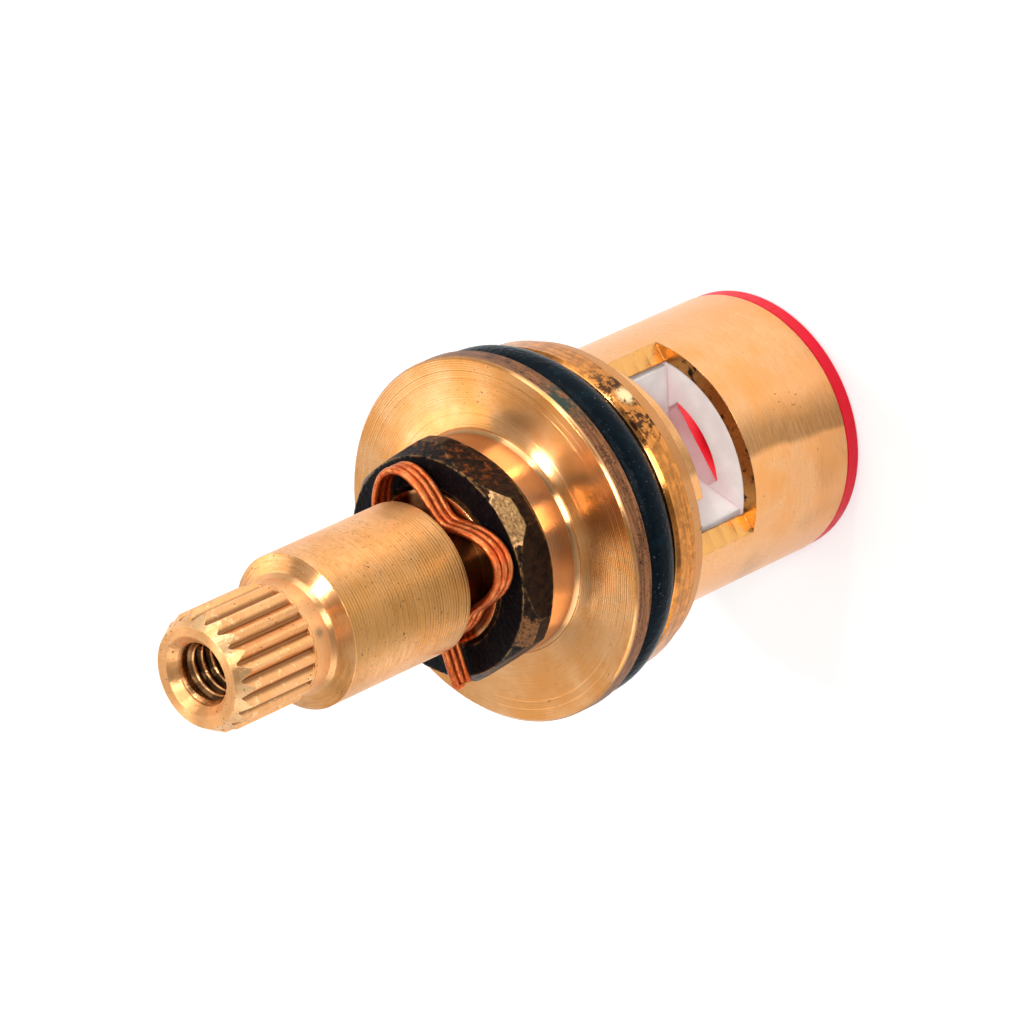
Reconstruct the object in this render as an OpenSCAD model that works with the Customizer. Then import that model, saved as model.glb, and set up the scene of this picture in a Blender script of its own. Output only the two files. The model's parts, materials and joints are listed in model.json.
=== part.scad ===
// Ceramic disc tap cartridge, quarter turn, brass headwork with a splined spindle.
// Millimetres. +Z runs up the spindle. The origin is the centre of the seal's bottom face.
// Azimuth is measured from +X. The water windows face -Y and +Y, and the valve is drawn open.

/* [Spindle] */
// Diameter over the spline teeth
spline_d = 8; // [7.8:0.1:8.4]
// Number of spline teeth
spline_teeth = 20; // [16:1:24]
// Depth of a spline tooth
spline_tooth_h = 0.4; // [0.3:0.02:0.5]
// Length of the spline, tip chamfer included
spline_len = 6.7; // [6:0.1:9]
// Radial drop of the chamfer at the spline tip
spline_tip_drop = 0.62; // [0.4:0.02:0.8]
// Length of the chamfer at the spline tip
spline_tip_len = 1.1; // [0.5:0.1:1.5]
// Length by which the teeth's sloping ends run out onto the neck
spline_runout = 0.1; // [0.05:0.05:0.3]
// Radial step from the spline down to the smooth neck behind it
neck_step = 0.2; // [0.1:0.02:0.3]
// Length of the neck
neck_len = 1.7; // [1.2:0.1:3]
// Width of the hollow flare where the neck meets the stem
neck_flare = 0.27; // [0.1:0.01:0.5]
// Diameter of the stem
stem_d = 10.4; // [10:0.1:10.8]
// Length of the plain stem above the clip groove
stem_len = 10.6; // [8:0.1:16]
// Length of the chamfer at the top of the stem
stem_chamfer_len = 0.5; // [0.3:0.02:1]
// Depth of the clip groove
clip_groove_depth = 1.1; // [0.9:0.05:1.3]
// Width of the clip groove
clip_groove_w = 2.5; // [2.4:0.1:3]
// Core diameter of the handle screw's hole
screw_hole_d = 4.2; // [4:0.1:4.4]
// Depth of the handle screw's hole
screw_hole_depth = 14; // [10:0.5:18]
// Width of the countersink at the mouth of the screw's hole
screw_mouth = 0.55; // [0.3:0.05:0.7]
// Height of the thrust collar
collar_h = 2.8; // [2.4:0.1:3.2]
// Width of the driving tang under the collar
tang_w = 4; // [3.5:0.1:4.4]
// Length of the driving tang
tang_len = 10.4; // [9:0.1:11]
// Height of the driving tang
tang_h = 1.8; // [1.5:0.1:2.5]
// Angle that the stop lug on the collar spans
stop_lug_angle = 30; // [20:1:36]
// Angle that the spindle turns between open and closed
turn_angle = 90; // [80:1:95]

/* [Retaining clip] */
// Diameter of the clip's wire
clip_wire_d = 0.52; // [0.45:0.01:0.55]
// How far the wire's centre stands out from the stem at a lobe crest
clip_crest_out = 1.75; // [1.4:0.05:2]
// Azimuth of the hollow between the clip's two lobes
clip_middle_angle = 299; // [270:1:330]
// Angle between the crests of the two lobes
clip_lobe_angle = 90; // [84:1:96]
// Angle between the clip's middle and either leg
clip_leg_angle = 134; // [128:1:140]
// How far the straight part of a leg runs out from the stem
clip_leg_out = 2.25; // [1.8:0.05:2.6]
// Extra length of the wire's two free ends
clip_end_len = 0.27; // [0.1:0.01:0.5]
// Radius of the bend between a leg and the groove
clip_bend_r = 0.6; // [0.4:0.05:0.8]

/* [Headwork] */
// Hexagon across flats
hex_af = 15; // [14.9:0.1:15.6]
// Height of the hexagon
hex_h = 2.9; // [2.5:0.1:5]
// Azimuth of one corner of the hexagon
hex_turn = 33.5; // [0:0.5:60]
// How far the turned-down corners stand out from the flats
hex_corner_out = 0.65; // [0.5:0.05:0.9]
// How far the bevels' inner edges lie inside the flats
hex_face_inset = 0.05; // [0.02:0.01:0.2]
// Height of the bevel on the front corners
hex_front_bevel_h = 1.05; // [0.5:0.05:1.2]
// Height of the bevel on the rear corners
hex_rear_bevel_h = 0.8; // [0.4:0.05:1]
// Height of the round neck between hexagon and flange
head_neck_h = 2.4; // [2:0.1:6]
// How far the round neck lies inside the hexagon's flats
head_neck_inset = 0.1; // [0.06:0.01:0.5]
// Hollow fillet between the neck and the flange
head_neck_fillet = 0.3; // [0.1:0.05:0.5]
// Diameter of the flange
flange_d = 24.9; // [24.5:0.1:28]
// Thickness of the flange
flange_t = 1.6; // [1.4:0.1:3]
// Chamfer on the flange's edges
flange_chamfer = 0.2; // [0.1:0.05:0.4]
// How far the rim below the ring groove lies inside the flange's edge
rim_inset = 0.95; // [0.6:0.05:1.2]
// Thickness of the rim
rim_t = 1.95; // [1.5:0.05:3]
// Bevel on the rim's edges
rim_bevel = 0.25; // [0.1:0.05:0.4]
// Wall of the spigot that plugs into the cage
spigot_wall = 1.2; // [0.9:0.05:1.4]
// Height of the spigot's end above the windows
spigot_setback = 0.3; // [0.1:0.05:0.6]

/* [Cage] */
// Outer diameter of the cage
cage_d = 18.4; // [18.3:0.05:19.4]
// Wall of the cage
cage_wall = 1.05; // [0.9:0.05:1.3]
// How far the collar at the top of the cage lies inside the headwork's rim
cage_collar_inset = 0.4; // [0.2:0.05:0.8]
// Thickness of the collar
cage_collar_t = 0.9; // [0.6:0.05:1.5]
// Height of a water window
window_h = 5.1; // [4.8:0.1:6]
// Height of the wall above the windows, collar included
window_web_h = 3.45; // [3.2:0.05:5]
// Depth of the flat that a window is milled to, below the cage's surface
window_depth = 3.3; // [3:0.05:3.6]
// Distance from the axis to the side of the notch that runs up to the collar
window_step = 3.7; // [3:0.1:4.5]
// Chamfer on the cage's open end
cage_end_chamfer = 0.15; // [0.05:0.05:0.3]
// Width of the two keyways inside the cage
keyway_w = 3; // [2.6:0.1:3.6]
// Depth of the keyways
keyway_depth = 0.5; // [0.4:0.05:0.6]

/* [Ceramic discs] */
// Thickness of the moving disc
moving_disc_t = 3.8; // [3.4:0.1:4.2]
// Angle between the flanks of each notch in the moving disc
notch_angle = 110; // [100:1:114]
// Width of the flat floor of a notch
notch_floor_w = 1.8; // [1.4:0.1:2.2]
// Wall of the moving disc's waist, between the tang's slot and a notch's floor
waist_wall = 0.75; // [0.6:0.05:1]
// Thickness of the fixed disc
fixed_disc_t = 2.3; // [2:0.1:3.5]
// How far the ports' round edge lies inside the inlet seal's bore
port_margin = 0.15; // [0.1:0.05:0.4]
// Width of a port
port_w = 5.8; // [5:0.1:6]
// Distance from the axis to a port's straight edge
port_inset = 2.7; // [2.5:0.05:3.2]

/* [Seals] */
// Height of the inlet seal's lip below the cage
seal_lip_h = 1.2; // [0.8:0.1:2.5]
// Height of the inlet seal inside the cage
seal_body_h = 7.3; // [6:0.1:10]
// Bore of the inlet seal below the discs
seal_bore_d = 12.1; // [11.6:0.1:12.6]
// How far the seal's mouth is narrower than its bore, all round
seal_mouth_step = 1.25; // [0.8:0.05:1.6]
// Height of the seal's mouth
seal_mouth_h = 3; // [2:0.1:4]
// Bevel on the inlet seal's lip
seal_lip_bevel = 0.2; // [0.1:0.05:0.4]
// Section of the body's ring
body_ring_section = 2.8; // [2.4:0.1:3]
// How far the body's ring lies inside the flange's edge
body_ring_inset = 0.25; // [0.1:0.05:0.5]
// Free width of the groove on each side of the body's ring
body_ring_gap = 0.35; // [0.2:0.05:0.6]
// Section of the spindle's two rings
spindle_ring_section = 1.2; // [1:0.05:1.4]
// Depth of the upper spindle ring below the hexagon's face
spindle_ring_depth = 4.4; // [3.5:0.1:5]
// Distance between the two spindle rings
spindle_ring_pitch = 3; // [2.5:0.1:3.6]
// Thickness of the thrust washer
washer_t = 0.6; // [0.4:0.05:1]

/* [Clearances] */
// Radial running clearance of the stem in the headwork
stem_clearance = 0.05; // [0.02:0.01:0.1]
// Film between the two discs, and play above the thrust washer
disc_film = 0.02; // [0.01:0.01:0.05]
// Radial clearance of pieces that sit still in the cage
seat_clearance = 0.05; // [0.02:0.01:0.1]
// Clearance of pieces that slip together without turning
slip_clearance = 0.05; // [0.02:0.01:0.06]
// Free angle beyond each end of the spindle's turn
stop_play = 2; // [1:0.5:4]
// Gap between the stop lug and the cage's bore
stop_lug_gap = 0.4; // [0.3:0.05:0.6]
// Radial gap between the thrust collar and the spigot's bore
collar_gap = 0.3; // [0.2:0.05:0.5]
// Radial gap between the moving disc and the cage's bore
disc_gap = 0.3; // [0.2:0.05:0.5]

/* [Hidden] */
$fn = 96;
// Overrun of a cut past the face it opens
cut = 1;
// Point angle of the drill that makes the screw's hole
drill_point_angle = 118;

// Heights from the seal up to the hexagon
cage_end_z = seal_lip_h;
fixed_disc_z = cage_end_z + seal_body_h;
disc_face_z = fixed_disc_z + fixed_disc_t;
moving_disc_z = disc_face_z + disc_film;
collar_z = moving_disc_z + moving_disc_t;
washer_z = collar_z + collar_h;
shoulder_z = washer_z + washer_t + disc_film;
window_top_z = disc_face_z + window_h;
spigot_end_z = window_top_z + spigot_setback;
cage_top_z = window_top_z + window_web_h;
groove_z = cage_top_z + rim_t;
ring_groove_w = body_ring_section + 2 * body_ring_gap;
flange_z = groove_z + ring_groove_w;
flange_face_z = flange_z + flange_t;
hex_z = flange_face_z + head_neck_h;
hex_face_z = hex_z + hex_h;

// Heights up the spindle
stem_z = hex_face_z + clip_groove_w;
stem_top_z = stem_z + stem_len;
neck_z = stem_top_z + stem_chamfer_len;
spline_z = neck_z + neck_len;
tip_z = spline_z + spline_len;
upper_ring_z = hex_face_z - spindle_ring_depth;
lower_ring_z = upper_ring_z - spindle_ring_pitch;

// Radii up the spindle
stem_r = stem_d / 2;
spline_r = spline_d / 2;
neck_r = spline_r - neck_step;
clip_groove_r = stem_r - clip_groove_depth;
bore_r = stem_r + stem_clearance;
bore_mouth = 0.3;
spindle_ring_seat_r = stem_r - spindle_ring_section - slip_clearance / 2;

// Radii of the headwork, from the flange and the hexagon
flange_r = flange_d / 2;
rim_r = flange_r - rim_inset;
body_ring_r = flange_r - body_ring_inset;
body_ring_seat_r = body_ring_r - body_ring_section - seat_clearance;
hex_face_r = hex_af / 2 - hex_face_inset;
hex_corner_r = hex_af / 2 + hex_corner_out;
head_neck_r = hex_af / 2 - head_neck_inset;

// Radii of what sits inside the cage, from the cage inwards
cage_r = cage_d / 2;
cage_bore_r = cage_r - cage_wall;
cage_collar_r = rim_r - cage_collar_inset;
window_flat = cage_r - window_depth;
keyway_r = cage_bore_r + keyway_depth;
spigot_r = cage_bore_r - seat_clearance;
spigot_bore_r = spigot_r - spigot_wall;
collar_r = spigot_bore_r - collar_gap;
// The thrust washer ends halfway between the collar's edge and the spigot's bore
washer_r = (collar_r + spigot_bore_r) / 2;
stop_lug_r = cage_bore_r - stop_lug_gap;
moving_disc_r = cage_bore_r - disc_gap;
slot_w = tang_w + 2 * slip_clearance;
slot_len = tang_len + 2 * slip_clearance;
waist_w = slot_w + 2 * waist_wall;
port_r = seal_bore_d / 2 - port_margin;

// Azimuths of the stop lug and of the arc it swings in, where the cage's wall is closed
stop_arc_end = 200;
stop_arc = stop_lug_angle + turn_angle + 2 * stop_play;
stop_arc_start = stop_arc_end - stop_arc;
stop_lug_start = stop_arc_end - stop_play - stop_lug_angle;

brass = "#d8a05a";
dark_brass = "#c08a48";
copper = "#c8643a";
rubber_black = "#20242a";
ceramic_white = "#ece8ea";
nylon = "#d8d2c4";
seal_red = "#d01c3c";

// Ring of rectangular section between two radii and two heights
module tube(inner_r, outer_r, low_z, high_z, azimuth = 0, angle = 360) {
    rotate([0, 0, azimuth])
        rotate_extrude(angle = angle)
            translate([inner_r, low_z])
                square([outer_r - inner_r, high_z - low_z]);
}

// Ring of round section, placed by its outer radius
module o_ring(outer_r, section, mid_z) {
    rotate_extrude()
        translate([outer_r - section / 2, mid_z])
            circle(d = section, $fn = 48);
}

// Cross-section of the spline: narrow-topped teeth with small root flats
module spline_section() {
    pitch = 360 / spline_teeth;
    tip_share = 0.14;
    root_share = 0.1;
    root_r = spline_r - spline_tooth_h;
    polygon([
        for (i = [0 : spline_teeth - 1], corner = [
            [root_r, -0.5 - root_share / 2],
            [root_r, -0.5 + root_share / 2],
            [spline_r, -tip_share / 2],
            [spline_r, tip_share / 2]
        ])
        let (a = (i + corner[1]) * pitch)
        corner[0] * [cos(a), sin(a)]
    ]);
}

// The teeth slope off at 45 degrees onto the neck, and are chamfered at the tip
module spline() {
    foot_z = spline_z - spline_runout;
    intersection() {
        translate([0, 0, foot_z])
            linear_extrude(tip_z - foot_z)
                spline_section();
        rotate_extrude()
            polygon([
                [0, foot_z - cut],
                [neck_r - cut, foot_z - cut],
                [spline_r + cut, foot_z + spline_r + cut - neck_r],
                [spline_r + cut, tip_z - spline_tip_len * (1 + cut / spline_tip_drop)],
                [spline_r - spline_tip_drop, tip_z],
                [0, tip_z]
            ]);
    }
}

// Turned outline of the spindle from the collar up to the end of the neck
module spindle_profile() {
    polygon([
        [0, collar_z],
        [collar_r, collar_z],
        [collar_r, washer_z],
        [stem_r, washer_z],
        [stem_r, hex_face_z],
        [clip_groove_r, hex_face_z],
        [clip_groove_r, stem_z],
        [stem_r, stem_z],
        [stem_r, stem_top_z],
        [neck_r + neck_flare, neck_z],
        [neck_r, neck_z + neck_flare],
        [neck_r, spline_z],
        [0, spline_z]
    ]);
}

module spindle_ring_groove(mid_z) {
    half_w = spindle_ring_section / 2 + 2 * slip_clearance;
    tube(spindle_ring_seat_r, stem_r + cut, mid_z - half_w, mid_z + half_w);
}

// Tapping hole for the handle screw, with a countersunk mouth and a drilled point
module screw_hole() {
    hole_r = screw_hole_d / 2;
    floor_z = tip_z - screw_hole_depth;
    point = hole_r / tan(drill_point_angle / 2);
    rotate_extrude()
        polygon([
            [0, floor_z - point],
            [hole_r, floor_z],
            [hole_r, tip_z - screw_mouth],
            [hole_r + screw_mouth + cut, tip_z + cut],
            [0, tip_z + cut]
        ]);
}

module spindle() {
    color(brass)
        difference() {
            union() {
                rotate_extrude()
                    spindle_profile();
                spline();
                tube(collar_r - cut, stop_lug_r, spigot_end_z + slip_clearance, washer_z,
                     stop_lug_start, stop_lug_angle);
                translate([-tang_len / 2, -tang_w / 2, collar_z - tang_h])
                    cube([tang_len, tang_w, tang_h + cut]);
            }
            screw_hole();
            spindle_ring_groove(upper_ring_z);
            spindle_ring_groove(lower_ring_z);
        }
}

// The clip is one wire folded into three strands. Each strand lies in the groove,
// swings out to two lobes and ends in two straight legs.
clip_side_count = 8;
clip_step_angle = 5;
clip_leg_steps = 6;
clip_pitch = clip_wire_d + slip_clearance;
clip_trough_r = clip_groove_r + clip_wire_d / 2 + slip_clearance;
clip_crest_r = stem_r + clip_crest_out;
clip_leg_r = stem_r + clip_leg_out;
clip_foot_z = hex_face_z + clip_wire_d / 2 + slip_clearance;
clip_first_angle = clip_middle_angle - clip_leg_angle;
clip_last_angle = clip_middle_angle + clip_leg_angle;
// Angle from a leg to where its bend has reached the groove
clip_foot_angle = 1.4 * atan(clip_bend_r / clip_trough_r);
// Steps of the half round bends that join two strands
fold_angles = [-72 : 24 : 72];

function level_point(r, a) = r * [cos(a), sin(a)];

function reversed(list) = [for (i = [len(list) - 1 : -1 : 0]) list[i]];

// Distance from the axis: one full swing out and in for each lobe, and the groove beyond them
function clip_radius(a) =
    let (swing_a = lookup(a - clip_middle_angle, [[-clip_lobe_angle, -180], [clip_lobe_angle, 540]]))
    clip_trough_r + (clip_crest_r - clip_trough_r) * (1 + cos(swing_a)) / 2;

// A leg from its end in to the groove. Its bend leads round to the side given as 1 or -1.
function clip_leg(azimuth, side) =
    let (bend_start_r = clip_trough_r + clip_bend_r,
         straight = [
             for (i = [0 : clip_leg_steps])
             [clip_leg_r + (bend_start_r - clip_leg_r) * i / clip_leg_steps, 0]
         ],
         bend = [
             for (u = [15 : 15 : 75])
             [bend_start_r - clip_bend_r * sin(u), side * clip_bend_r * (1 - cos(u))]
         ])
    [
        for (p = concat(straight, bend))
        level_point(p[0], azimuth) + level_point(p[1], azimuth + 90)
    ];

function clip_strand() =
    let (start = clip_first_angle + clip_foot_angle,
         end = clip_last_angle - clip_foot_angle,
         steps = round((end - start) / clip_step_angle))
    concat(
        clip_leg(clip_first_angle, 1),
        [for (i = [0 : steps]) let (a = start + (end - start) * i / steps) level_point(clip_radius(a), a)],
        reversed(clip_leg(clip_last_angle, -1))
    );

// Unit vector across the strand, level and square to its run
function strand_side(strand, i) =
    let (run = strand[min(i + 1, len(strand) - 1)] - strand[max(i - 1, 0)])
    [run[1], -run[0], 0] / norm(run);

function strand_at(strand, level) =
    [for (p = strand) [p[0], p[1], clip_foot_z + level * clip_pitch]];

// Half round bend at a leg's end, from the given level up to the next one
function fold_at(azimuth, level) = [
    for (u = fold_angles)
    let (r = clip_leg_r + clip_pitch / 2 * cos(u),
         z = clip_foot_z + (level + 0.5) * clip_pitch + clip_pitch / 2 * sin(u))
    [r * cos(azimuth), r * sin(azimuth), z]
];

function free_end(azimuth, level) =
    [each level_point(clip_leg_r + clip_end_len, azimuth), clip_foot_z + level * clip_pitch];

module retaining_clip() {
    strand = clip_strand();
    sides = [for (i = [0 : len(strand) - 1]) strand_side(strand, i)];
    first_side = sides[0];
    last_side = sides[len(sides) - 1];
    route = concat(
        [free_end(clip_first_angle, 0)],
        strand_at(strand, 0),
        fold_at(clip_last_angle, 0),
        strand_at(reversed(strand), 1),
        fold_at(clip_first_angle, 1),
        strand_at(strand, 2),
        [free_end(clip_last_angle, 2)]
    );
    route_sides = concat(
        [first_side],
        sides,
        [for (u = fold_angles) last_side],
        reversed(sides),
        [for (u = fold_angles) first_side],
        sides,
        [last_side]
    );
    last = len(route) - 1;
    points = [
        for (i = [0 : last])
        let (run = route[min(i + 1, last)] - route[max(i - 1, 0)],
             across = cross(route_sides[i], run / norm(run)))
        for (s = [0 : clip_side_count - 1])
        let (u = 360 * s / clip_side_count)
        route[i] + clip_wire_d / 2 * (cos(u) * route_sides[i] + sin(u) * across)
    ];
    walls = [
        for (i = [0 : last - 1], s = [0 : clip_side_count - 1])
        let (next = (s + 1) % clip_side_count, low = i * clip_side_count, high = low + clip_side_count)
        each [[low + s, high + s, high + next], [low + s, high + next, low + next]]
    ];
    first_cap = [for (s = [0 : clip_side_count - 1]) s];
    last_cap = [for (s = [clip_side_count - 1 : -1 : 0]) last * clip_side_count + s];
    color(copper)
        polyhedron(points, concat(walls, [first_cap, last_cap]));
}

// Hexagon turned down at its corners, with a bevel at both faces
module bevelled_hex() {
    intersection() {
        translate([0, 0, hex_z])
            rotate([0, 0, hex_turn])
                cylinder(r = hex_af / 2 / cos(30), h = hex_h, $fn = 6);
        rotate_extrude()
            polygon([
                [0, hex_z],
                [hex_face_r, hex_z],
                [hex_corner_r, hex_z + hex_rear_bevel_h],
                [hex_corner_r, hex_face_z - hex_front_bevel_h],
                [hex_face_r, hex_face_z],
                [0, hex_face_z]
            ]);
    }
}

// Turned outline of the headwork, from the spigot's end up into the hexagon
module headwork_profile() {
    polygon([
        [0, spigot_end_z],
        [spigot_r, spigot_end_z],
        [spigot_r, cage_top_z],
        [rim_r - rim_bevel, cage_top_z],
        [rim_r, cage_top_z + rim_bevel],
        [rim_r, groove_z - rim_bevel],
        [rim_r - rim_bevel, groove_z],
        [body_ring_seat_r, groove_z],
        [body_ring_seat_r, flange_z],
        [flange_r - flange_chamfer, flange_z],
        [flange_r, flange_z + flange_chamfer],
        [flange_r, flange_face_z - flange_chamfer],
        [flange_r - flange_chamfer, flange_face_z],
        [head_neck_r + head_neck_fillet, flange_face_z],
        [head_neck_r, flange_face_z + head_neck_fillet],
        [head_neck_r, hex_z + cut],
        [0, hex_z + cut]
    ]);
}

// Bore for the stem, wider below the shoulder for the collar, with a small mouth at the hexagon
module headwork_bore() {
    rotate_extrude()
        polygon([
            [0, spigot_end_z - cut],
            [spigot_bore_r, spigot_end_z - cut],
            [spigot_bore_r, shoulder_z],
            [bore_r, shoulder_z],
            [bore_r, hex_face_z - bore_mouth],
            [bore_r + bore_mouth + cut, hex_face_z + cut],
            [0, hex_face_z + cut]
        ]);
}

module headwork() {
    color(dark_brass)
        difference() {
            union() {
                rotate_extrude()
                    headwork_profile();
                bevelled_hex();
            }
            headwork_bore();
            tube(spigot_bore_r - cut, spigot_r + cut, spigot_end_z - cut,
                 washer_z + slip_clearance, stop_arc_start, stop_arc);
        }
}

module body_o_ring() {
    color(rubber_black)
        o_ring(body_ring_r, body_ring_section, groove_z + ring_groove_w / 2);
}

module spindle_o_ring_upper() {
    color(rubber_black)
        o_ring(stem_r, spindle_ring_section, upper_ring_z);
}

module spindle_o_ring_lower() {
    color(rubber_black)
        o_ring(stem_r, spindle_ring_section, lower_ring_z);
}

module thrust_washer() {
    color(nylon)
        tube(stem_r + slip_clearance, washer_r, washer_z, washer_z + washer_t);
}

// Plan of one V notch with a flat floor, opening towards +Y
module notch_plan() {
    reach = moving_disc_r + cut;
    floor_y = waist_w / 2;
    mouth_x = notch_floor_w / 2 + (reach - floor_y) * tan(notch_angle / 2);
    polygon([
        [-notch_floor_w / 2, floor_y],
        [notch_floor_w / 2, floor_y],
        [mouth_x, reach],
        [-mouth_x, reach]
    ]);
}

// Butterfly disc: two notches let the water out, and a slot on top takes the tang
module moving_disc() {
    slot_z = collar_z - tang_h - slip_clearance;
    color(ceramic_white)
        difference() {
            translate([0, 0, moving_disc_z])
                cylinder(r = moving_disc_r, h = moving_disc_t);
            for (side = [0, 180])
                rotate([0, 0, side])
                    translate([0, 0, moving_disc_z - cut])
                        linear_extrude(moving_disc_t + 2 * cut)
                            notch_plan();
            translate([-slot_len / 2, -slot_w / 2, slot_z])
                cube([slot_len, slot_w, tang_h + cut]);
        }
}

// Bar along X with round ends: the two keys of a piece, or the two keyways of the cage
module key_bar(width, end_r, low_z, high_z) {
    intersection() {
        translate([-end_r, -width / 2, low_z])
            cube([2 * end_r, width, high_z - low_z]);
        translate([0, 0, low_z - cut])
            cylinder(r = end_r, h = high_z - low_z + 2 * cut);
    }
}

module seated_keys(low_z, high_z) {
    key_bar(keyway_w - 2 * slip_clearance, keyway_r - seat_clearance, low_z, high_z);
}

// One D-shaped port through the fixed disc, towards +Y
module port() {
    intersection() {
        translate([0, 0, fixed_disc_z - cut])
            cylinder(r = port_r, h = fixed_disc_t + 2 * cut);
        translate([-port_w / 2, port_inset, fixed_disc_z - cut])
            cube([port_w, 2 * port_r, fixed_disc_t + 2 * cut]);
    }
}

module fixed_disc() {
    color(ceramic_white)
        difference() {
            union() {
                translate([0, 0, fixed_disc_z])
                    cylinder(r = cage_bore_r - seat_clearance, h = fixed_disc_t);
                seated_keys(fixed_disc_z, disc_face_z);
            }
            for (side = [0, 180])
                rotate([0, 0, side])
                    port();
        }
}

// One window milled flat across the cage, with a notch at one end that runs up to the collar
module window() {
    collar_low_z = cage_top_z - cage_collar_t;
    translate([-cage_r, window_flat, disc_face_z])
        cube([cage_d, cage_d, window_h]);
    translate([window_step, window_flat, disc_face_z])
        cube([cage_d, cage_d, collar_low_z - disc_face_z]);
}

module cage() {
    color(brass)
        difference() {
            rotate_extrude()
                polygon([
                    [cage_bore_r, cage_end_z],
                    [cage_r - cage_end_chamfer, cage_end_z],
                    [cage_r, cage_end_z + cage_end_chamfer],
                    [cage_r, cage_top_z - cage_collar_t],
                    [cage_collar_r, cage_top_z - cage_collar_t],
                    [cage_collar_r, cage_top_z],
                    [cage_bore_r, cage_top_z]
                ]);
            for (side = [0, 180])
                rotate([0, 0, side])
                    window();
            key_bar(keyway_w, keyway_r, cage_end_z - cut, disc_face_z);
        }
}

// Rubber cup: the lip seats under the cage, the body and its keys push into the cage
module inlet_seal() {
    lip_r = cage_r - seat_clearance;
    body_r = cage_bore_r - seat_clearance;
    chamber_r = seal_bore_d / 2;
    mouth_r = chamber_r - seal_mouth_step;
    color(seal_red)
        difference() {
            union() {
                rotate_extrude()
                    polygon([
                        [0, 0],
                        [lip_r - seal_lip_bevel, 0],
                        [lip_r, seal_lip_bevel],
                        [lip_r, cage_end_z],
                        [body_r, cage_end_z],
                        [body_r, fixed_disc_z],
                        [0, fixed_disc_z]
                    ]);
                seated_keys(cage_end_z, fixed_disc_z);
            }
            rotate_extrude()
                polygon([
                    [0, -cut],
                    [mouth_r, -cut],
                    [mouth_r, seal_mouth_h],
                    [chamber_r, seal_mouth_h],
                    [chamber_r, fixed_disc_z + cut],
                    [0, fixed_disc_z + cut]
                ]);
        }
}

spindle();
retaining_clip();
headwork();
body_o_ring();
spindle_o_ring_upper();
spindle_o_ring_lower();
thrust_washer();
moving_disc();
fixed_disc();
cage();
inlet_seal();
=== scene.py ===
import json
import math

import bmesh
import bpy
from mathutils import Matrix, Vector


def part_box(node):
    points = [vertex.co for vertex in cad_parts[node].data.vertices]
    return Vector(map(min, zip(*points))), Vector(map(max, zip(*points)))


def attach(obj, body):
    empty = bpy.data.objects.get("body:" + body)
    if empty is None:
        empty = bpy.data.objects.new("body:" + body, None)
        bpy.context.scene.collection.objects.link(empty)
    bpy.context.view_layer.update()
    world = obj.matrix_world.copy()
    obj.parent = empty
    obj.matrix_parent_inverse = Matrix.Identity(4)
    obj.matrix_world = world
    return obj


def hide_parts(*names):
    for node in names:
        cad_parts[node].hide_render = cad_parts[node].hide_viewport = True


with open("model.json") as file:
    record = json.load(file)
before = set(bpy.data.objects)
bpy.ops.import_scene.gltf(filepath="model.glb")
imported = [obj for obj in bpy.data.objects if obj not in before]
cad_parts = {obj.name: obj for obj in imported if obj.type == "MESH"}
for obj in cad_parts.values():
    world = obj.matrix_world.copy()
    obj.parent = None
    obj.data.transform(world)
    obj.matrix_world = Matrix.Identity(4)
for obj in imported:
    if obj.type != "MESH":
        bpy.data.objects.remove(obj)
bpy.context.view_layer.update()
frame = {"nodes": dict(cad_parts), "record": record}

# Places and radii read from the frame, in millimetres
MM = 0.001
mounts = {mount["name"]: mount for mount in frame["record"]["mounts"]}


def low_mm(node):
    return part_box(node)[0] / MM


def high_mm(node):
    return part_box(node)[1] / MM


hex_face_z = high_mm("headwork").z
flange_face_z = mounts["flange_front"]["pos_m"][2] / MM
flange_r = high_mm("headwork").x
tip_z = high_mm("spindle").z
sill_z = high_mm("fixed_disc").z
ring_low_z = low_mm("body_o_ring").z
hole_r = mounts["handle_screw"]["dims"]["r_mm"]
spline_r = mounts["handle_spline"]["dims"]["r_mm"]
spline_length = mounts["handle_spline"]["dims"]["length_mm"]
rim_r = mounts["rim_pilot"]["dims"]["r_mm"]
cage_r = mounts["cage_pilot"]["dims"]["r_mm"]

# Lengths that the frame doesn't name, in millimetres
HEX_HEIGHT = 2.9
HEX_SLOPE_R = 6.9
FLANGE_THICKNESS = 1.6
FLANGE_HOLLOW_R = 9.3
RING_PLAY = 0.35
CLIP_GROOVE_WIDTH = 2.5
STEM_LENGTH = 10.6
STEM_R = 5.2
SPLINE_DEPTH = 0.4
PORT_Y = 4.4

# Heights and radii on the turned pieces, worked out from those
hex_z = hex_face_z - HEX_HEIGHT
flange_z = flange_face_z - FLANGE_THICKNESS
rim_top_z = ring_low_z - RING_PLAY
stem_z = hex_face_z + CLIP_GROOVE_WIDTH
stem_top_z = stem_z + STEM_LENGTH
spline_z = tip_z - spline_length
spline_root_r = spline_r - SPLINE_DEPTH

# Where marks, painted reflections and a painted glint lie, in degrees round the axis
STEM_PAINTED_REFLECTION = (-130, -72)
NECK_SMEAR = -103.7
RUSTY_FROM = (-75, -66)
BARE_CORNER = (-99, -75)
BARE_CORNER_RIM = (-101, -73)
BROWN_CORNER = (-155, -138)
EDGE_STAIN = (-70, -56)
RIM_GRIME = (-88, -54)
RIM_GLINT = -68.0
CAGE_PAINTED_REFLECTION_START = (-105, -101)
CAGE_PAINTED_REFLECTION_END = (-97, -80)


def polar(r, degrees, z=0.0):
    turn = math.radians(degrees)
    return Vector((r * math.cos(turn), r * math.sin(turn), z))


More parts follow.
